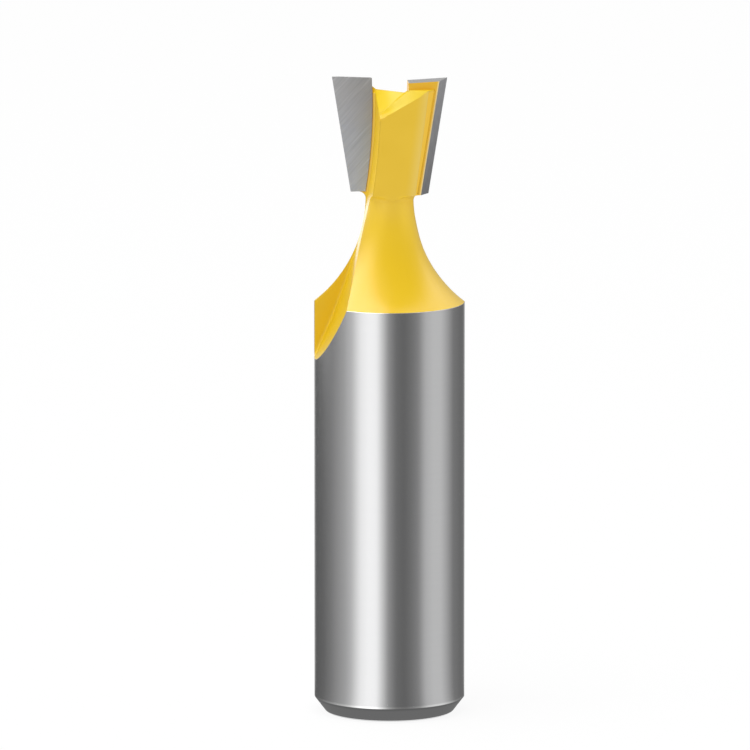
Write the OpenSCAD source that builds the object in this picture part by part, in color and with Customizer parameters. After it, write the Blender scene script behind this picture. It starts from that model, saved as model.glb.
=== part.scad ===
// Dovetail cutter: a two-flute router bit with brazed carbide tips on a straight shank.
// The shank end rests on z = 0, the turning axis is Z, and the cutting end points up.
// The rake faces are parallel to XZ. It cuts turning anticlockwise, seen from the cutting end.

/* [Shank] */
// Diameter of the ground shank, a half-inch collet size
shank_d = 12.7; // [10:0.1:16]
// Height of the shoulder where the shank ends and the cove begins
shank_len = 35.05; // [25:0.05:50]
// Width of the chamfer on the shank end, measured along the radius
chamfer_w = 0.95; // [0.4:0.05:2]
// Height of the chamfer on the shank end
chamfer_h = 1.25; // [0.4:0.05:3]

/* [Neck] */
// Diameter of the neck at its narrowest
neck_d = 4.2; // [3.6:0.05:4.4]
// Radius of the cove that runs from the shank up to the neck
cove_r = 11; // [7:0.1:14]
// Length of the straight neck between the cove and the head
neck_len = 0.6; // [0.6:0.05:2]
// Radius of the fillet between the neck and the underside of the head
neck_fillet = 0.6; // [0.1:0.05:0.6]

/* [Head] */
// Cutting diameter, across the outer corners of the two tips
cut_d = 9.7; // [9:0.02:12]
// Cutting length, from the underside of the head to the tip corners
cut_len = 9.8; // [8:0.1:11]
// Dovetail angle of the cutting edges from the axis, in degrees
dovetail = 9; // [5:0.5:10]
// Room between the cutting circle and the turned steel, at the underside of the head
side_gap = 0.4; // [0.2:0.05:0.5]
// Lean of the turned steel from the axis, in degrees
head_lean = 7.6; // [5:0.1:9]
// Room between the tip corners and the flat end of the steel head
end_gap = 0.85; // [0.6:0.05:0.95]
// How far the flat ground behind each tip stands off the neck, where it starts
land_step = 0.02; // [0.01:0.01:0.2]
// Lean of that flat from the axis, in degrees
land_lean = 4.1; // [2:0.1:6]

/* [Carbide tips] */
// Distance from the axis to the plane of each rake face
rake_dist = 0.8; // [0.6:0.05:0.95]
// Thickness of a tip
tip_t = 1.15; // [0.9:0.05:1.25]
// Lean of the side flank from square to the rake face, in degrees
flank_angle = 34; // [28:1:40]
// Fall of the end cutting edge towards the axis, in degrees
dish_angle = 2.75; // [0:0.25:6]
// Fall of the end face towards the back of the tip, in degrees
end_relief = 6; // [2:0.5:12]
// How far the rake face stands proud of the gullet floor
tip_proud = 0.05; // [0.02:0.01:0.1]
// Brazing film between the tip and the inner wall of its seat
braze_gap = 0.03; // [0.02:0.01:0.1]

/* [Gullets] */
// Diameter of the grinding wheel that leaves the gullet
wheel_d = 94.5; // [80:0.5:130]
// Corner radius of that wheel
wheel_corner = 0.2; // [0.1:0.05:0.4]
// Height of the wheel's centre above the underside of the head
wheel_rise = 7.5; // [5:0.1:9]
// Thickness of the web of steel left between the two gullets
web_t = 2.24; // [1.8:0.02:2.8]

/* [End gash] */
// Depth of the gash at the axis, below the tip corners
gash_depth = 1.16; // [1.1:0.02:1.4]
// Slope of the gash floor, in degrees
gash_slope = 39; // [34:1:44]
// Turn of the slope about the axis, in degrees from the rake face
gash_turn = 43; // [38:1:48]
// Width of the shelf that stays behind the other tip, at its narrow end
shelf_w = 0.15; // [0.1:0.05:0.3]
// Turn of the front edge of that shelf, in degrees from the rake face
shelf_turn = 26; // [20:1:32]
// Slope of the front of that shelf, in degrees
shelf_slope = 62; // [56:1:70]
// Slope of its narrow end, in degrees
shelf_fall = 38; // [32:1:46]

/* [Hidden] */
$fn = 180;
wheel_fn = 720;
corner_steps = 4;
flutes = 2;

shank_r = shank_d / 2;
neck_r = neck_d / 2;
cut_r = cut_d / 2;
wheel_r = wheel_d / 2;

// Heights along the axis
cove_top = shank_len + sqrt(pow(cove_r, 2) - pow(cove_r - (shank_r - neck_r), 2));
head_z = cove_top + neck_len;
land_z = head_z - neck_fillet;
corner_z = head_z + cut_len;
steel_top = corner_z - end_gap;

// Radius of the cutting circle at a height, and the reach of the cutting edge in the rake plane
function cut_r_at(z) = cut_r - (corner_z - z) * tan(dovetail);
function edge_x(z) = sqrt(pow(cut_r_at(z), 2) - pow(rake_dist, 2));

// Radius of the turned steel at the underside of the head
head_r = cut_r_at(head_z) - side_gap;

// Lean of the cutting edge within the rake plane
edge_lean = atan((edge_x(corner_z) - edge_x(head_z)) / cut_len);

// Wheel: its centre, the plane of its side, and the arc that its flat side reaches to
wheel_x = web_t / 2 + wheel_r;
wheel_z = head_z + wheel_rise;
floor_y = rake_dist + tip_proud;
seat_r = wheel_r - wheel_corner;
tip_back = rake_dist + tip_t;
gash_back = rake_dist + tip_t / 2;

// Length that reaches past the whole cutter in any direction
past = 2 * shank_r + corner_z;

// Turns the children to each flute
module each_flute() {
    for (i = [0 : flutes - 1])
        rotate([0, 0, i * 360 / flutes])
            children();
}

// Disc lying parallel to XZ about the wheel's axis, from a depth towards -Y
module wheel_disc(r, y_from, thick) {
    translate([-wheel_x, y_from, wheel_z])
        rotate([90, 0, 0])
            cylinder(r = r, h = thick, $fn = wheel_fn);
}

// Ground shank with its chamfered end
module shank() {
    rotate_extrude()
        polygon([
            [0, 0],
            [shank_r - chamfer_w, 0],
            [shank_r, chamfer_h],
            [shank_r, shank_len],
            [0, shank_len]
        ]);
}

// Half section of the cove, the neck and the fillet under the head
module neck_section() {
    difference() {
        translate([0, shank_len])
            square([neck_r + cove_r, head_z - shank_len]);
        translate([neck_r + cove_r, cove_top])
            circle(r = cove_r);
        translate([neck_r, cove_top])
            square(2 * cove_r);
    }
    difference() {
        translate([0, head_z - neck_fillet])
            square([neck_r + neck_fillet, neck_fillet]);
        translate([neck_r + neck_fillet, head_z - neck_fillet])
            circle(r = neck_fillet);
    }
}

// Half section of the dovetail head, a cone inside the cutting circle
module head_section() {
    polygon([
        [0, head_z],
        [head_r, head_z],
        [head_r + (steel_top - head_z) * tan(head_lean), steel_top],
        [0, steel_top]
    ]);
}

// Half section of the wheel, with its corner as an arc from the side to the rim
module wheel_section() {
    corner_arc = [
        for (i = [0 : corner_steps])
            let (a = 90 * i / corner_steps)
                [seat_r + wheel_corner * sin(a), wheel_corner * (1 - cos(a))]
    ];
    polygon(concat([[0, 0]], corner_arc, [[wheel_r, past], [0, past]]));
}

// Gullet left by the wheel: its side grinds the floor, and its rim the wall that runs out on the shank
module gullet() {
    translate([-wheel_x, floor_y, wheel_z])
        rotate([90, 0, 0])
            rotate_extrude($fn = wheel_fn)
                wheel_section();
}

// Seat for a tip, sunk below the gullet floor with the same wheel
module tip_seat() {
    intersection() {
        wheel_disc(seat_r, tip_back, tip_t + rake_dist);
        translate([-past, 0, head_z])
            cube(past);
    }
}

// Flat ground on the head behind the other tip: it runs out on the neck and leans with the head
module land_flat() {
    intersection() {
        translate([0, -neck_r - land_step, land_z])
            rotate([land_lean, 0, 0])
                translate([-past, -past, -past])
                    cube([2 * past, past, 2 * past]);
        translate([-past, -past, land_z])
            cube(2 * past);
    }
}

// Shelf behind the other tip, below two slopes that meet at its inner corner
module shelf() {
    translate([wheel_x - seat_r + shelf_w, -tip_back - shelf_w, steel_top])
        intersection() {
            rotate([0, 0, -shelf_turn])
                rotate([shelf_slope, 0, 0])
                    translate([-past, -past, -2 * past])
                        cube(2 * past);
            rotate([0, -shelf_fall, 0])
                translate([-past, -past, -2 * past])
                    cube(2 * past);
        }
}

// Gash in the end: a sloping floor that falls into the gullet, and stops at the shelf
module end_gash() {
    difference() {
        intersection() {
            translate([0, 0, corner_z - gash_depth])
                rotate([0, 0, gash_turn])
                    rotate([0, -gash_slope, 0])
                        translate([-past, -past, 0])
                            cube(2 * past);
            translate([-past, gash_back - 2 * past, 0])
                cube(2 * past);
        }
        shelf();
    }
}

// Steel body, turned and ground from one bar: bright shank, enamelled neck and head
module body() {
    difference() {
        union() {
            color("silver")
                shank();
            color("gold")
                rotate_extrude() {
                    neck_section();
                    head_section();
                }
        }
        color("gold")
            each_flute() {
                gullet();
                tip_seat();
                land_flat();
                end_gash();
            }
    }
}

// Carbide tip, ground on its rake face, side flank and end
module carbide_tip() {
    color("darkgray")
        difference() {
            intersection() {
                wheel_disc(seat_r - braze_gap, tip_back, tip_t);
                translate([-past, 0, head_z])
                    cube([past, past, cut_len]);
            }
            translate([-edge_x(corner_z), rake_dist, corner_z])
                rotate([0, -edge_lean, 0])
                    rotate([0, 0, -flank_angle])
                        translate([-past, -past, -past])
                            cube([past, 2 * past, 2 * past]);
            translate([-edge_x(corner_z), rake_dist, corner_z])
                rotate([0, dish_angle, 0])
                    rotate([-end_relief, 0, 0])
                        translate([-past, -past, 0])
                            cube(2 * past);
        }
}

module carbide_tip_1() {
    carbide_tip();
}

module carbide_tip_2() {
    rotate([0, 0, 360 / flutes])
        carbide_tip();
}

body();
carbide_tip_1();
carbide_tip_2();
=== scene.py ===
# %% [markdown]
# # A dovetail cutter for a router
# The object is a small router cutter that stands on its shank: a bright ground shank, a yellow enamelled
# neck and head, and two grey carbide tips brazed into the head. Its solids come ready made, in metres, with
# the turning axis on Z and the cutting end up. They could be modelled again as meshes, but finishes on the
# exact solids keep every size true. So this lesson adds only finishes, a studio and a camera.

# %% Load the solids
import math

import bpy
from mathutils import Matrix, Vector

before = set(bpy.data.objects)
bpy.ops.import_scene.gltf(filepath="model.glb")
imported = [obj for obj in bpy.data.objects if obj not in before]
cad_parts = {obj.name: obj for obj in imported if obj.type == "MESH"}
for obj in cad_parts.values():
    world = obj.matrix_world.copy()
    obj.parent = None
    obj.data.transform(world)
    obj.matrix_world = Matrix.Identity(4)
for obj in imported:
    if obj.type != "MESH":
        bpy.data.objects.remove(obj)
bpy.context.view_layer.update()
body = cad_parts["body"]
tips = [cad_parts["carbide_tip_1"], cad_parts["carbide_tip_2"]]
print("solids:", sorted(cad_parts))

# %% [markdown]
# ## Sizes that the finishes follow
# The enamel stops at the shoulder of the shank, and the bare steel goes on round the chamfer at the foot.
# Those places could be typed in, but they are read from the solids here, so that the paint line stays on
# the shoulder when a solid changes. From here on, the sizes of the finishes are in millimetres.

# %% Measure the shank
MM = 0.001
# How near to the largest radius, or to the floor, a point counts as there
SKIN = 0.001

body_points = [v.co / MM for v in body.data.vertices]
shank_r = max(p.xy.length for p in body_points)
shank_heights = [p.z for p in body_points if p.xy.length > shank_r - SKIN]
chamfer_z, shoulder_z = min(shank_heights), max(shank_heights)
foot_r = max(p.xy.length for p in body_points if p.z < SKIN)
print("shank radius", round(shank_r, 3), "from", round(chamfer_z, 3), "to", round(shoulder_z, 3))
print("radius of the foot", round(foot_r, 3))

# %% Measure a tip
# How near to a plane a point counts as on it
TOUCHING = 0.01

tip_points = [v.co / MM for v in tips[0].data.vertices]
head_z = min(p.z for p in tip_points)
back_y = max(abs(p.y) for p in tip_points)
on_back = [p for p in tip_points if abs(p.y) > back_y - TOUCHING]
back_foot = max(abs(p.x) for p in on_back if p.z < head_z + TOUCHING)
back_corner = max(on_back, key=lambda p: abs(p.x))
back_slope = (abs(back_corner.x) - back_foot) / (back_corner.z - head_z)
print("outer edge of a tip's back: from x", round(back_foot, 3), "to", round(abs(back_corner.x), 3))

# %% [markdown]
# ## A small language for finishes
# A finish is a net of shader nodes, and a net is slow to read as code. Here one class stands for a value
# that changes over the surface, and Python's operators on it add the Math nodes, so a mask reads like the
# sum that it is. A second class holds one material and adds every other node, its settings first and its
# sockets after them.

# %% A value that changes over a surface
class Field:
    """A value that changes over a surface: one output socket of a finish."""

    def __init__(self, finish, socket):
        self.finish, self.socket = finish, socket

    def math(self, operation, *terms):
        return self.finish.node("ShaderNodeMath", {"operation": operation}, dict(enumerate(terms)))

    def __add__(self, other):
        return self.math("ADD", self, other)

    def __radd__(self, other):
        return self.math("ADD", other, self)

    def __sub__(self, other):
        return self.math("SUBTRACT", self, other)

    def __rsub__(self, other):
        return self.math("SUBTRACT", other, self)

    def __mul__(self, other):
        return self.math("MULTIPLY", self, other)

    def __rmul__(self, other):
        return self.math("MULTIPLY", other, self)

    def __truediv__(self, other):
        return self.math("DIVIDE", self, other)

    def __rtruediv__(self, other):
        return self.math("DIVIDE", other, self)

    def __pow__(self, other):
        return self.math("POWER", self, other)

    def __rpow__(self, other):
        return self.math("POWER", other, self)

    def __abs__(self):
        return self.math("ABSOLUTE", self)

    def __gt__(self, other):
        return self.math("GREATER_THAN", self, other)

    def __lt__(self, other):
        return self.math("LESS_THAN", self, other)

    def __or__(self, other):
        return self.math("MAXIMUM", self, other)

    def __and__(self, other):
        return self.math("MINIMUM", self, other)

    def ease(self, low, high, start=0.0, end=1.0):
        """Goes smoothly from start to end while the value goes from low to high."""
        return self.finish.node(
            "ShaderNodeMapRange",
            {"interpolation_type": "SMOOTHSTEP"},
            {"Value": self, "From Min": low, "From Max": high, "To Min": start, "To Max": end},
        )

    def fade(self, low, high):
        """Goes smoothly from 1 to 0 while the value goes from low to high."""
        return self.ease(low, high, 1.0, 0.0)

    def sign(self):
        """Makes a mask of 1 and 0 into 1 and -1."""
        return self * 2 - 1


print("a field takes + - * / ** abs > < | &, ease, fade and sign")


# %% A material and its nodes
class Finish:
    """One material, or the world, and the nodes in it."""

    def __init__(self, owner):
        owner.use_nodes = True
        self.owner, self.tree = owner, owner.node_tree
        self.tree.nodes.clear()

    def node(self, kind, settings=None, sockets=None, output=0):
        """Adds a node, sets it up, then fills its sockets. Gives one output as a Field."""
        made = self.tree.nodes.new(kind)
        for name, value in (settings or {}).items():
            if name == "stops":
                ramp = made.color_ramp.elements
                while len(ramp) < len(value):
                    ramp.new(0.5)
                for element, (place_on_ramp, colour) in zip(ramp, value):
                    element.position, element.color = place_on_ramp, colour
            else:
                setattr(made, name, value)
        for name, value in (sockets or {}).items():
            if isinstance(value, Field):
                self.tree.links.new(value.socket, made.inputs[name])
            else:
                made.inputs[name].default_value = value
        return Field(self, made.outputs[output]) if len(made.outputs) else made

    def show(self, shader, output="ShaderNodeOutputMaterial"):
        """Sends a shader to the surface."""
        self.node(output, sockets={"Surface": shader})
        print(self.owner.name, "has", len(self.tree.nodes), "nodes")


def new_finish(name):
    return Finish(bpy.data.materials.new(name))


print("a finish takes nodes, with their settings and sockets")

# %% [markdown]
# ## Tools that all the finishes share
# Every finish asks where a point lies on the object and which way its surface faces, so both are split into
# x, y and z here. Colours go through Mix nodes, because a Math node would make a colour grey. Grain is noise
# at so many spots per millimetre: stretched along one direction, it makes grinding lines of any fineness.

# %% Places and directions
def split(finish, vector):
    """The x, y and z of a vector."""
    x = finish.node("ShaderNodeSeparateXYZ", sockets={0: vector})
    outputs = x.socket.node.outputs
    return x, Field(finish, outputs["Y"]), Field(finish, outputs["Z"])


def place(finish):
    """Where a point lies on the object, in millimetres."""
    metres = finish.node("ShaderNodeTexCoord", output="Object")
    scaled = finish.node("ShaderNodeVectorMath", {"operation": "SCALE"}, {0: metres, "Scale": 1 / MM})
    return split(finish, scaled)


def facing(finish):
    """The direction that the flat face under a point looks in."""
    return split(finish, finish.node("ShaderNodeNewGeometry", output="True Normal"))


print("places are counted in millimetres,", round(1 / MM), "to the metre")


# %% Colours and grain
# Noise goes up and down round this value
MIDDLE = 0.5


def tone(red, green, blue):
    """A colour as a screen shows it, from 0 to 255, as the linear colour that shaders work with."""
    def linear(c):
        c = c / 255
        return c / 12.92 if c <= 0.04045 else ((c + 0.055) / 1.055) ** 2.4
    return (linear(red), linear(green), linear(blue), 1.0)


def grey(value):
    """A linear grey."""
    return (value, value, value, 1.0)


def blend(finish, amount, first, second):
    """A colour that goes from the first to the second."""
    return finish.node(
        "ShaderNodeMix", {"data_type": "RGBA"}, {0: amount, 6: first, 7: second}, output=2
    )


def grain(finish, coordinates, per_mm, detail):
    """Noise from 0 to 1, with so many spots per millimetre along each of three coordinates."""
    stretched = [c * count for c, count in zip(coordinates, per_mm)]
    spot = finish.node("ShaderNodeCombineXYZ", sockets=dict(enumerate(stretched)))
    return finish.node(
        "ShaderNodeTexNoise", {"noise_dimensions": "3D"}, {"Vector": spot, "Scale": 1.0, "Detail": detail}
    )


print("middle grey of a screen, linear:", round(tone(128, 128, 128)[0], 3))

# %% [markdown]
# ## One body, two finishes
# The body is one piece of steel. After grinding, the cove, neck, gullets and head were sprayed with yellow
# enamel, and the shank was left bright for the collet. Two materials could share the faces, sorted by their
# place. One shader with a mask needs no list of faces, so it stays right when the solid is meshed anew: the
# radius and the height say where the steel is bare.

# %% Where the steel is bare
# How far under the shank's skin a point still counts as bare
PAINT_DEPTH = 0.02

paint = new_finish("ground_steel_and_yellow_enamel")
x, y, z = place(paint)
nx, ny, nz = facing(paint)
radius = (x * x + y * y) ** 0.5
on_shank = (radius > shank_r - PAINT_DEPTH) & (z < shoulder_z + TOUCHING)
steel = on_shank | (z < chamfer_z + TOUCHING)
print("bare steel up to", round(shoulder_z + TOUCHING, 2), "outside radius", round(shank_r - PAINT_DEPTH, 2))

# %% [markdown]
# ## Bright ground steel
# The shank was ground while it turned, so very fine rings run round it, and it mirrors the studio in long
# bands. The rings could be cut into the mesh, but they are much finer than a pixel. So grain that is
# squeezed along the axis moves the colour, the gloss and the relief by a little. A white highlight is
# painted along the edge over the chamfer, and just under it lies a darker line of painted shade.

# %% Steel: rings, painted highlight and shade at the foot, and gloss
STEEL_DULL, STEEL_BRIGHT = (0.725, 0.725, 0.73, 1), (0.745, 0.745, 0.75, 1)
# The painted highlight along the edge, as heights over the edge of the chamfer
RIM_FULL, RIM_FADES, RIM_GONE = 0.05, 0.08, 0.25
# The line of painted shade under that edge: its width, strength and grey
SHADE_DROP, SHADE_AMOUNT, SHADE_GREY = 0.3, 0.5, 0.4
STEEL_ROUGH, RING_ROUGH = 0.15, 0.03

rings = grain(paint, (x, y, z), per_mm=(0.15, 0.15, 6.0), detail=3.0)
fine_rings = grain(paint, (x, y, z), per_mm=(0.4, 0.4, 30.0), detail=2.0)
# Painted light: a white highlight over the edge of the chamfer, and a line of painted shade just under it
rim_highlight = z.ease(chamfer_z, chamfer_z + RIM_FULL) * z.fade(chamfer_z + RIM_FADES, chamfer_z + RIM_GONE)
under = z.ease(chamfer_z - SHADE_DROP, chamfer_z) * (z < chamfer_z)
steel_colour = blend(paint, rings, STEEL_DULL, STEEL_BRIGHT)
steel_colour = blend(paint, rim_highlight, steel_colour, grey(1.0))
steel_colour = blend(paint, under * SHADE_AMOUNT, steel_colour, grey(SHADE_GREY))
steel_rough = STEEL_ROUGH + (fine_rings - MIDDLE) * RING_ROUGH
print("bright rim from", round(chamfer_z, 2), "to", round(chamfer_z + RIM_GONE, 2))

# %% [markdown]
# ## Yellow enamel
# Enamel from a spray gun is not one yellow: it is deep where it lies thick, and duller on the coarse faces
# that the wheel left. Other yellows are painted light and shade: a painted highlight on a rounded corner
# and on the end facets, painted sheen on the neck's sides and on the edge of a flat, and a lighter yellow
# that lifts the shade on the gullet wall and on the turned side by a tip. One flat yellow would look like
# plastic.
# The yellows could be painted by hand on an unwrapped mesh, but each of them belongs to a place on the
# cutter. So each place gets a mask from its height and direction, and the yellows are laid on in turn. The
# cutter looks the same after half a turn, so signs and absolute values make a mask serve both sides.

# %% Enamel: the even coat
# How much of a face's direction has to point one way for the face to lean that way
LEANING = 0.3

cloud = grain(paint, (x, y, z), per_mm=(0.35, 0.35, 0.35), detail=2.0)
peel = grain(paint, (x, y, z), per_mm=(2.2, 2.2, 2.2), detail=2.0)
enamel = blend(paint, cloud, tone(230, 189, 46), tone(236, 196, 56))
sideways = abs(nx) > LEANING
upright = abs(nz) < LEANING
above_neck = z > head_z
print("even coat of enamel over the whole body")

# %% Enamel: gullet walls and their corners
# Heights round the top of the neck, and over the shoulder
WALL_FADE, WALL_RISE = 1.2, 8.0
RUN_OUT_FULL, RUN_OUT_GONE = 1.0, 3.5
# Distance of the wheel's corner from the plane through the axis
CORNER_FROM, CORNER_TO = 0.72, 0.9
# How much of a face's direction points along y: nothing on a wall, more in a corner
SQUARE, ROUNDED = 0.02, 0.05

ground_wall = (abs(ny) < SQUARE) * sideways
wall = ground_wall * z.ease(head_z - WALL_FADE, head_z + WALL_FADE)
# Painted light: the ground wall beside a tip gets a lighter yellow, which lifts the shade that the tip
# throws on it
lit_wall_colour = blend(paint, z.ease(head_z, head_z + WALL_RISE), tone(247, 205, 40), tone(243, 198, 32))
run_out = ground_wall * z.fade(shoulder_z + RUN_OUT_FULL, shoulder_z + RUN_OUT_GONE)
from_axis = y * (x < 0).sign()
in_corner = (from_axis > CORNER_FROM) * (from_axis < CORNER_TO)
# Painted highlight: a pale line on the wheel's rounded corner next to a tip
corner = in_corner * (abs(ny) > ROUNDED) * upright * above_neck
print("wheel's corner between", CORNER_FROM, "and", CORNER_TO, "from the axis")

# %% Enamel: cove, neck and flats
# Heights from the top of the neck, and the turn from the front to the side
DEEP_FULL, DEEP_GONE = -3.0, -0.5
NECK_START, NECK_FULL, NECK_TURN = -5.0, -1.0, (0.1, 0.5)
# The edge of the flat behind a tip, and how far in from it a pale sheen is painted as a reflection
EDGE_X, EDGE_SLOPE, FLAT_Y = 2.3, 0.12, 2.0
SHEEN_FROM, SHEEN_TO, SHEEN_AMOUNT = 0.1, 1.4, 0.42
# The turned side beyond that edge, painted a lighter yellow to lift the shade in the crease by the tip
TURNED_R, TURNED_ROUND = 2.6, 0.1

deep = z.fade(head_z + DEEP_FULL, head_z + DEEP_GONE)
on_neck = z.ease(head_z + NECK_START, head_z + NECK_FULL) * (z < head_z) * (1 - ground_wall)
# Painted sheen: the neck gets a lighter yellow towards its left and right sides
neck_side_sheen = on_neck * abs(x / radius).ease(*NECK_TURN)
to_edge = EDGE_X + (z - head_z) * EDGE_SLOPE - x * (y < 0).sign()
on_flat = (abs(y) > FLAT_Y) * (1 - sideways) * above_neck
# Painted sheen: the flat gets paler towards its edge, as a painted reflection
edge_sheen = on_flat * to_edge.ease(SHEEN_FROM, SHEEN_TO, SHEEN_AMOUNT, 0.0)
# Painted light: a lighter yellow on the turned side lifts the shade in the crease beside a tip
turned = (radius > TURNED_R) * sideways * (abs(ny) > TURNED_ROUND) * upright * above_neck
print("edge of a flat: x", EDGE_X, "at the neck, and", EDGE_SLOPE, "more for each mm up")

# %% Enamel: facets of the gashed end
# Heights over the neck, and distances out from where two facets meet, round which a pale highlight is
# painted
END_START, END_FULL = 6.5, 7.5
FOLD_RISE, FOLD_FALL, FOLD_LEFT = (-0.6, 0.4), (0.9, 2.2), 0.4

end = z.ease(head_z + END_START, head_z + END_FULL) * (nz > LEANING)
outward = x * (ny < 0).sign()
# Painted highlight: a pale band on the end facets beside the line where they meet
fold_highlight = outward.ease(*FOLD_RISE) * outward.ease(*FOLD_FALL, 1.0, FOLD_LEFT)
end_colour = blend(paint, fold_highlight, tone(236, 202, 34), tone(242, 214, 86))
print("end facets start", END_START, "above the neck")

# %% Enamel: lay the yellows on in turn
CORNER_AMOUNT, NECK_AMOUNT, RUN_OUT_AMOUNT = 0.2, 0.6, 0.5
ENAMEL_ROUGH, WALL_ROUGH, END_ROUGH, PEEL_ROUGH = 0.38, 0.25, 0.2, 0.08

# Painted light among these: the wall and the turned side lift shade, the corner and the end facets carry
# highlights, the neck's sides and the flat's edge carry sheen
tints = [
    (wall, lit_wall_colour),
    (corner * CORNER_AMOUNT, tone(250, 228, 150)),
    (deep, tone(233, 192, 18)),
    (neck_side_sheen * NECK_AMOUNT, tone(246, 206, 50)),
    (edge_sheen, tone(236, 214, 136)),
    (turned, tone(246, 198, 56)),
    (end, end_colour),
    (run_out * RUN_OUT_AMOUNT, tone(220, 182, 20)),
]
for amount, colour in tints:
    enamel = blend(paint, amount, enamel, colour)
enamel_rough = ENAMEL_ROUGH + wall * WALL_ROUGH + end * END_ROUGH + (peel - MIDDLE) * PEEL_ROUGH
print("yellows laid over the even coat:", len(tints))

# %% [markdown]
# ## Soft edges and gloss
# Enamel rounds the edges that it covers, and its skin is a little uneven, like the peel of an orange. The
# edges could be rounded in the mesh, but the solid has to stay as it is. So a Bevel node rounds only the
# shading. Bare steel keeps its sharp edges, and so does the foot of the flat, which runs out softly on the
# neck. A clear coat gives the cove its gloss; the wheel-ground faces, the end and the head are duller.

# %% Body: relief
EDGE_ROUND, EDGE_SAMPLES = 0.25, 8
# Where the flat runs out, from the top of the neck
FLAT_FOOT_Y, FLAT_FOOT_LOW, FLAT_FOOT_HIGH = 1.2, -0.9, 0.1
# Heights of the grinding rings and of the enamel's peel
RING_RELIEF, PEEL_RELIEF = 0.0001, 0.002

height = steel * fine_rings * RING_RELIEF + (1 - steel) * peel * PEEL_RELIEF
at_foot = (z > head_z + FLAT_FOOT_LOW) * (z < head_z + FLAT_FOOT_HIGH)
flat_foot = at_foot * (abs(y) > FLAT_FOOT_Y)
sharp = paint.node("ShaderNodeNewGeometry", output="Normal")
rounded = paint.node("ShaderNodeBevel", {"samples": EDGE_SAMPLES}, {"Radius": EDGE_ROUND * MM})
soft_edge = paint.node(
    "ShaderNodeMix", {"data_type": "VECTOR"}, {0: steel | flat_foot, 4: rounded, 5: sharp}, output=1
)
relief = paint.node(
    "ShaderNodeBump", {}, {"Strength": 1.0, "Distance": MM, "Height": height, "Normal": soft_edge}
)
print("enamelled edges shaded round, radius", EDGE_ROUND)

# %% Body: shader
COAT_COVE, COAT_HEAD = 0.6, 0.08
COAT_FROM, COAT_TO = -1.5, 0.5
RUN_OUT_DULL, COAT_ROUGH, ENAMEL_SHINE = 0.85, 0.2, 0.3


def dress(piece, finish):
    """Gives a piece its finish in place of any that it came with."""
    piece.data.materials.clear()
    piece.data.materials.append(finish.owner)


glossy = (1 - steel) * (1 - wall) * (1 - end) * (1 - run_out * RUN_OUT_DULL)
paint.show(
    paint.node(
        "ShaderNodeBsdfPrincipled",
        {},
        {
            "Base Color": blend(paint, steel, enamel, steel_colour),
            "Metallic": steel,
            "Roughness": steel * steel_rough + (1 - steel) * enamel_rough,
            "Specular IOR Level": ENAMEL_SHINE,
            "Coat Weight": glossy * z.ease(head_z + COAT_FROM, head_z + COAT_TO, COAT_COVE, COAT_HEAD),
            "Coat Roughness": COAT_ROUGH,
            "Normal": relief,
        },
    )
)
dress(body, paint)

# %% [markdown]
# ## Ground carbide
# A tip is sintered carbide, dull grey, and its rake face, side flank and end were ground after brazing. The
# wheel left fine lines, slanting across the rake face and running along the flank. A picture of scratches
# could be wrapped on, but stretched grain gives lines of any fineness, and the direction of a face says
# which lines it gets. The back of a tip was sprayed with the head, and a pale highlight is painted along
# its outer edge.

# %% Carbide: faces of a tip
# How much of a face's direction points along y, up, and in towards the axis
STRAIGHT_ON, LEVEL, INNER_SIDE = 0.9, 0.7, 0.6

carbide = new_finish("ground_carbide")
x, y, z = place(carbide)
nx, ny, nz = facing(carbide)
side = (x > 0).sign()
rake = ny * side > STRAIGHT_ON
end = nz > LEVEL
sprayed = (ny * side < -STRAIGHT_ON) | (nx * side < -INNER_SIDE) | (nz < -LEVEL)
bare = 1 - sprayed
print("a tip has a rake face, a flank, an end and sprayed backs")

# %% Carbide: grinding lines
LINES_LEAN = math.radians(47)
# A few long scratches, from the highest spots of a grain that is moved aside
SCRATCH_SHIFT, SCRATCH_RANGE, SCRATCH_LIGHT = 35.0, (0.62, 0.7), 0.3
CONTRAST = 1.7

inward = x * side * -1
across = inward * math.sin(LINES_LEAN) - z * math.cos(LINES_LEAN)
along = inward * math.cos(LINES_LEAN) + z * math.sin(LINES_LEAN)
broad = grain(carbide, (along, across, y), per_mm=(0.25, 7.0, 0.2), detail=2.0)
thin = grain(carbide, (along, across, y), per_mm=(0.4, 14.0, 0.2), detail=3.0)
marks = grain(carbide, (along, across, y + SCRATCH_SHIFT), per_mm=(0.12, 5.0, 0.2), detail=1.0)
scratch = marks.ease(*SCRATCH_RANGE)
lengthwise = grain(carbide, (x, y, z), per_mm=(10.0, 10.0, 0.4), detail=3.0)
slanting = ((broad + thin) / 2 - MIDDLE) * CONTRAST + MIDDLE + scratch * SCRATCH_LIGHT
lines = rake * slanting + (1 - rake) * lengthwise
print("lines lean", round(math.degrees(LINES_LEAN)), "degrees on the rake face")

# %% [markdown]
# ## Greys of the tips
# The grey of a rake face shifts from its cutting edge to its inner side, and the lines stand on that shift.
# Next to the yellow gullet wall the face catches yellow light, more than the photograph shows. Fewer bounces
# of light would cut it everywhere, so a slightly blue grey near the wall takes it back on the tip alone. The
# flank is painted darker towards the neck as shade, so it lightens towards the end, and the end face is
# plain.

# %% Carbide: the rake face
# Where the wall's yellow light falls: out from the axis, and up from the neck
WALL_NEAR, WALL_FAR, LEFT_AT_EDGE = 1.3, 4.8, 0.35
LIT_FULL, LIT_GONE = 4.0, 9.5
# How the grey shifts for each millimetre, and what the lines, clouds and shift add to it
SHIFT_ACROSS, SHIFT_UP, SHIFT_HALF = 0.12, 0.05, 0.4
LINE_SHARE, CLOUD_SHARE, SHIFT_SHARE = 0.45, 0.1, 0.45

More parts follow.
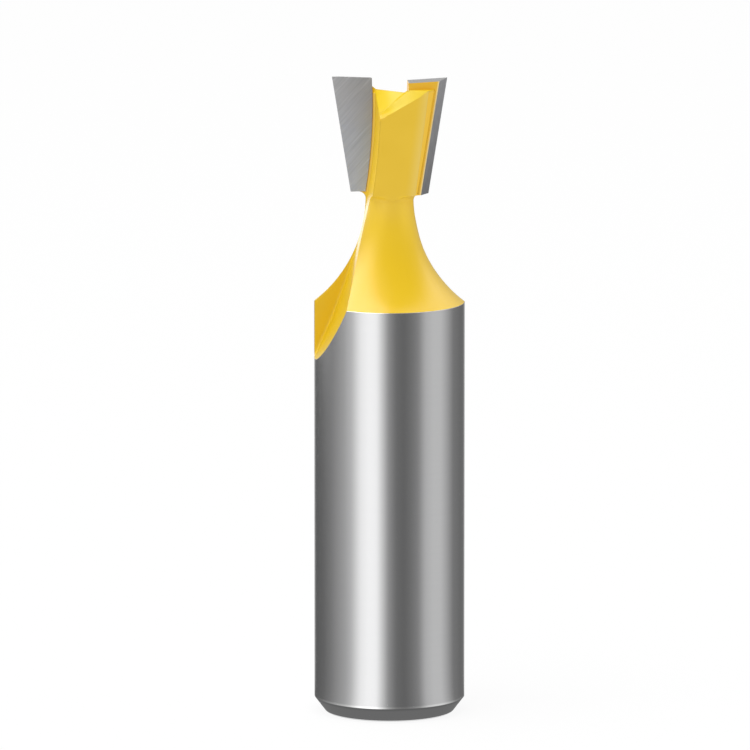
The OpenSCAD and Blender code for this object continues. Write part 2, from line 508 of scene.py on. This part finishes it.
cloud = grain(carbide, (x, y, z), per_mm=(0.5, 0.5, 0.5), detail=2.0)
up_head = z - head_z
shift = (x * side * SHIFT_ACROSS - up_head * SHIFT_UP).ease(-SHIFT_HALF, SHIFT_HALF)
lit_by_wall = abs(x).ease(WALL_NEAR, WALL_FAR, 1.0, LEFT_AT_EDGE) * up_head.fade(LIT_FULL, LIT_GONE)
rake_dark = blend(carbide, lit_by_wall, tone(138, 138, 141), tone(132, 140, 155))
rake_light = blend(carbide, lit_by_wall, tone(206, 207, 210), tone(198, 210, 233))
rake_amount = lines * LINE_SHARE + cloud * CLOUD_SHARE + shift * SHIFT_SHARE
rake_colour = blend(carbide, rake_amount, rake_dark, rake_light)
print("blue grey fades out", LIT_GONE, "above the neck")

# %% Carbide: flank, end and sprayed back
FLANK_LINES, FLANK_SHADE_RISE = 0.6, 0.065
# The strip of painted highlight on the back, in from its outer edge
HIGHLIGHT_FULL, HIGHLIGHT_GONE, HIGHLIGHT_AMOUNT = 0.04, 0.16, 0.8

# Painted shade: the flank's grey darkens towards the neck and lightens towards the end
flank_amount = lines * FLANK_LINES + up_head * FLANK_SHADE_RISE
flank_colour = blend(carbide, flank_amount, tone(144, 144, 145), tone(210, 210, 212))
end_colour = blend(carbide, lines, tone(144, 144, 144), tone(175, 174, 173))
to_flank = back_foot + up_head * back_slope - abs(x)
# Painted highlight: the sprayed back turns pale near its outer edge
highlighted = to_flank.ease(HIGHLIGHT_FULL, HIGHLIGHT_GONE, HIGHLIGHT_AMOUNT, 0.0)
spray_colour = blend(carbide, highlighted, tone(233, 183, 36), tone(240, 220, 160))
print("rubbed edge of the sprayed back:", HIGHLIGHT_GONE, "wide")

# %% Carbide: shader
LINE_RELIEF = 0.004
CARBIDE_METAL, GROUND_LESS = 0.8, 0.45
CARBIDE_ROUGH, LINE_ROUGH = 0.42, 0.25

colour = blend(carbide, rake, flank_colour, rake_colour)
colour = blend(carbide, end, colour, end_colour)
relief = carbide.node(
    "ShaderNodeBump", {}, {"Strength": 1.0, "Distance": MM, "Height": lines * bare * LINE_RELIEF}
)
carbide.show(
    carbide.node(
        "ShaderNodeBsdfPrincipled",
        {},
        {
            "Base Color": blend(carbide, sprayed, colour, spray_colour),
            "Metallic": bare * (CARBIDE_METAL - rake * GROUND_LESS - end * GROUND_LESS),
            "Roughness": CARBIDE_ROUGH + (lines - MIDDLE) * bare * LINE_ROUGH,
            "Normal": relief,
        },
    )
)
for tip in tips:
    dress(tip, carbide)

# %% [markdown]
# ## A pale floor
# The cutter stands on white paper. A lit sheet would have to be very bright to come out white, and its light
# would wash out the enamel. So the paper is dull white for the light that falls on it, which keeps the soft
# shadow at the foot, and almost plain white for the camera and for mirrors.

# %% Floor
# The studio's own sizes are in metres
FLOOR_HALF, PAPER_GREY, WHITENESS = 3.0, 0.95, 0.9


def mesh_object(name, verts, faces):
    mesh = bpy.data.meshes.new(name)
    mesh.from_pydata(verts, [], faces)
    made = bpy.data.objects.new(name, mesh)
    bpy.context.scene.collection.objects.link(made)
    return made


def seen_rays(finish):
    """1 for what the camera, a mirror or glass sees, and 0 for the light that falls on dull things."""
    camera_ray = finish.node("ShaderNodeLightPath", output="Is Camera Ray")
    rays = camera_ray.socket.node.outputs
    return camera_ray | Field(finish, rays["Is Glossy Ray"]) | Field(finish, rays["Is Transmission Ray"])


corners = [(-1, -1), (1, -1), (1, 1), (-1, 1)]
floor = mesh_object("floor", [(FLOOR_HALF * i, FLOOR_HALF * j, 0) for i, j in corners], [(0, 1, 2, 3)])
paper = new_finish("pale_floor")
dull = paper.node("ShaderNodeBsdfDiffuse", sockets={"Color": grey(PAPER_GREY)})
white = paper.node("ShaderNodeEmission", sockets={"Color": grey(1.0), "Strength": 1.0})
paper.show(paper.node("ShaderNodeMixShader", sockets={0: seen_rays(paper) * WHITENESS, 1: dull, 2: white}))
dress(floor, paper)

# %% [markdown]
# ## Cards round the shank
# A bright cylinder shows only what lies round it, so a white studio alone would leave the shank white. A
# photographer lays grey and black cards round the foot to draw light and dark bands on the steel. Many small
# cards could be laid out, but one ring with a ramp of greys round the axis is easier to tune. Only mirrors
# see it, so it lights nothing. The ramp gives the brightness at so many degrees from the camera's side.

# %% Shape of the ring of cards
RING_INNER, RING_OUTER, RING_STEPS, RING_LIFT = foot_r * MM, 1.2, 96, 0.0001


def circle(r, height):
    """Points round the axis, from the front."""
    turns = [2 * math.pi * i / RING_STEPS for i in range(RING_STEPS)]
    return [(r * math.sin(turn), -r * math.cos(turn), height) for turn in turns]


def skin(rows):
    """Faces between circles of points that follow each other."""
    faces = []
    for j in range(rows - 1):
        for i in range(RING_STEPS):
            k = (i + 1) % RING_STEPS
            low, high = j * RING_STEPS, (j + 1) * RING_STEPS
            faces.append((low + i, low + k, high + k, high + i))
    return faces


ring_verts = circle(RING_INNER, RING_LIFT) + circle(RING_OUTER, RING_LIFT)
floor_cards = mesh_object("floor_cards", ring_verts, skin(2))
print("ring of cards:", len(floor_cards.data.polygons), "faces")

# %% Greys of the ring of cards
CAMERA_TURN = math.radians(-7)
# Degrees from the camera's front, and how bright the card is there
FLOOR_TONES = [
    (-180, 0.55), (-167, 0.5), (-157, 0.15), (-150, 0.12), (-120, 0.16), (-100, 0.24), (-85, 0.34),
    (-70, 0.45), (-60, 0.61), (-45, 1.08), (-32, 1.22), (-20, 1.20), (-12, 0.80), (-2, 0.35), (10, 0.18),
    (22, 0.15), (34, 0.20), (45, 0.28), (57, 0.55), (70, 0.64), (85, 0.64), (97, 0.48), (115, 0.23),
    (140, 0.17), (157, 0.17), (167, 0.5), (180, 0.55),
]


def camera_sides(x, y):
    """How far a point lies to the camera's right, and to its front."""
    c, s = math.cos(CAMERA_TURN), math.sin(CAMERA_TURN)
    return x * c + y * s, x * s - y * c


def turn_of(right, front):
    """The angle of a point round the axis, from the camera's front."""
    return right.math("ARCTAN2", right, front)


def ramp_round(finish, turn, tones):
    """The tones round the axis as shares of the brightest one."""
    most = max(bright for degrees, bright in tones)
    stops = [((degrees + 180) / 360, grey(bright / most)) for degrees, bright in tones]
    share = turn / (2 * math.pi) + 0.5
    return finish.node("ShaderNodeValToRGB", {"stops": stops}, {0: share}), most


def show_card(finish, glow, most):
    """Makes a card glow for mirrors, without counting it as a lamp."""
    finish.show(finish.node("ShaderNodeEmission", sockets={"Color": glow, "Strength": most}))
    finish.owner.cycles.emission_sampling = "NONE"


print("greys round the shank:", len(FLOOR_TONES))

# %% [markdown]
# ## Bands that run straight
# The steel stands off the axis by the shank's radius, so straight cards would give bands that lean near the
# foot. The angle is therefore bent by the radius over the reach, and the bands run straight up. Close to the
# foot the floor is dark, as under any tool. Far behind, on the left, one more card gives the neck's ground
# wall its pale strip, because that wall is seen at a low angle and mirrors what lies far away. The card dims
# farther out, so that it draws no hard edge on the neck when it is seen from behind.

# %% Glow of the ring of cards
FOOT_DARK, FOOT_LIGHT, FOOT_GREY = shank_r + 0.6, shank_r + 3.0, 0.15
# The far card: its reach from the axis, and how far behind and to the left it lies
FAR_START, FAR_BRIGHT = (235.0, 260.0), 2.0
FAR_DIMS, FAR_LEFT_OVER = (450.0, 1100.0), 0.3
FAR_BEHIND, FAR_LEFT = (0.0, 0.5), (-0.2, 0.3)

ring_card = new_finish("floor_card_tones")
x, y, _ = place(ring_card)
right, front = camera_sides(x, y)
turn = turn_of(right, front)
reach = (x * x + y * y) ** 0.5
bend = turn.math("SINE", turn * 0.5) * shank_r / reach
glow, most = ramp_round(ring_card, turn + bend, FLOOR_TONES)
glow = blend(ring_card, reach.ease(FOOT_DARK, FOOT_LIGHT), grey(FOOT_GREY), glow)
behind, left = front * -1 / reach, right * -1 / reach
far_card = reach.ease(*FAR_START) * reach.ease(*FAR_DIMS, 1.0, FAR_LEFT_OVER)
far_card = far_card * behind.ease(*FAR_BEHIND) * left.ease(*FAR_LEFT)
glow = blend(ring_card, far_card, glow, grey(FAR_BRIGHT / most))
show_card(ring_card, glow, most)
dress(floor_cards, ring_card)

# %% [markdown]
# ## A tent over the cutter
# Enamel that faces up mirrors what hangs over it. The photograph has soft light patches on the left and the
# right of the cove and none in the middle, as from a tent of white cloth that is open at the front. Lamps
# could be hung there, but they would also light the enamel. So a dome glows for mirrors only, brighter on
# its left and right, and darker towards the floor.

# %% Shape of the dome of cards
DOME_R, DOME_RINGS, DOME_TOP = 1.3, 24, math.radians(89.5)

dome_verts = []
for j in range(DOME_RINGS + 1):
    lift = DOME_TOP * j / DOME_RINGS
    dome_verts += circle(DOME_R * math.cos(lift), DOME_R * math.sin(lift))
tent_cards = mesh_object("tent_cards", dome_verts, skin(DOME_RINGS + 1))
print("dome of cards:", len(tent_cards.data.polygons), "faces")

# %% Glow of the dome of cards
# Shares of the dome's height
DOME_DARK, DOME_LIGHT, DOME_GREY = 0.15, 0.7, 0.08
TENT_TONES = [
    (-180, 0.4), (-150, 2.6), (-120, 5.1), (-80, 5.1), (-60, 3.0), (-40, 0.9), (-20, 0.2), (10, 0.0),
    (70, 0.0), (95, 0.4), (120, 2.6), (150, 1.2), (180, 0.4),
]

tent_card = new_finish("tent_card_tones")
x, y, z = place(tent_card)
glow, most = ramp_round(tent_card, turn_of(*camera_sides(x, y)), TENT_TONES)
glow = blend(tent_card, (z * MM / DOME_R).ease(DOME_DARK, DOME_LIGHT), grey(DOME_GREY), glow)
show_card(tent_card, glow, most)
dress(tent_cards, tent_card)

# %% Cards for mirrors only
HIDDEN_FROM = ("camera", "diffuse", "transmission", "volume_scatter", "shadow")

for cards in (floor_cards, tent_cards):
    for way in HIDDEN_FROM:
        setattr(cards, "visible_" + way, False)
print("the cards are hidden from", ", ".join(HIDDEN_FROM))

# %% [markdown]
# ## Air and lamps
# Most of the light comes from all round, as in a white tent, so that a colour renders about as it is
# written. One large softbox hangs nearly overhead and a little to the left, and a weak one stands on the
# right. Both are kept out of mirrors, because the cards already draw the bands on the steel.

# %% World
AIR_LIGHT = 0.75

world = bpy.data.worlds.new("studio")
bpy.context.scene.world = world
air = Finish(world)
strength = seen_rays(air) * (1 - AIR_LIGHT) + AIR_LIGHT
sky = air.node("ShaderNodeBackground", sockets={"Color": grey(1.0), "Strength": strength})
air.show(sky, "ShaderNodeOutputWorld")

# %% Softboxes
BOX_SIZE = 0.6
LIT_SPOT = Vector((0, 0, 0.03))
KEY_WATTS, KEY_AT = 3.3, Vector((-0.25, -0.2, 0.88))
FILL_WATTS, FILL_AT = 0.5, Vector((0.7, -0.1, 0.2))


def softbox(name, watts, at):
    lamp = bpy.data.lights.new(name, "AREA")
    lamp.shape, lamp.size, lamp.size_y, lamp.energy = "RECTANGLE", BOX_SIZE, BOX_SIZE, watts
    made = bpy.data.objects.new(name, lamp)
    made.location = at
    made.rotation_mode = "QUATERNION"
    made.rotation_quaternion = (LIT_SPOT - at).to_track_quat("-Z", "Y")
    made.visible_glossy = False
    bpy.context.scene.collection.objects.link(made)
    print(name, watts, "watts")


softbox("key_softbox", KEY_WATTS, KEY_AT)
softbox("fill_softbox", FILL_WATTS, FILL_AT)

# %% [markdown]
# ## The camera
# The photograph was taken with a long lens from a little above, and the cutter is turned a few degrees. The
# picture could be framed with the camera's shift, but a shift stays when the camera goes elsewhere. So the
# camera stands at that angle and distance and is aimed a little beside the axis, and a named point of the
# axis falls on its own pixel of the square picture.

# %% Where the camera stands
PICTURE_PX = 750
ELEVATION = math.radians(9.8)
DISTANCE, FOCAL_PX = 0.948, 11232.0
TARGET = Vector((0, 0, 0.027))
TARGET_PX = (389.5, 395.35)

flat_back = Vector((math.sin(CAMERA_TURN), -math.cos(CAMERA_TURN), 0))
back = flat_back * math.cos(ELEVATION) + Vector((0, 0, math.sin(ELEVATION)))
right = Vector((math.cos(CAMERA_TURN), math.sin(CAMERA_TURN), 0))
up = back.cross(right)
beside, below = ((px - PICTURE_PX / 2) * DISTANCE / FOCAL_PX for px in TARGET_PX)
aim = TARGET - right * beside + up * below
print("aimed beside the axis by", round(beside / MM, 2), "and above the target by", round(below / MM, 2))

# %% Camera
SENSOR_MM = 36.0
NEAREST, FARTHEST = 0.01, 20.0

lens = bpy.data.cameras.new("camera")
lens.sensor_width = SENSOR_MM
lens.lens = FOCAL_PX / PICTURE_PX * SENSOR_MM
lens.clip_start, lens.clip_end = NEAREST, FARTHEST
camera = bpy.data.objects.new("camera", lens)
camera.location = TARGET + back * DISTANCE
camera.rotation_mode = "QUATERNION"
camera.rotation_quaternion = (aim - camera.location).to_track_quat("-Z", "Y")
bpy.context.scene.collection.objects.link(camera)
bpy.context.scene.camera = camera
bpy.context.scene.view_settings.view_transform = "Standard"
print("lens mm:", round(lens.lens, 1))
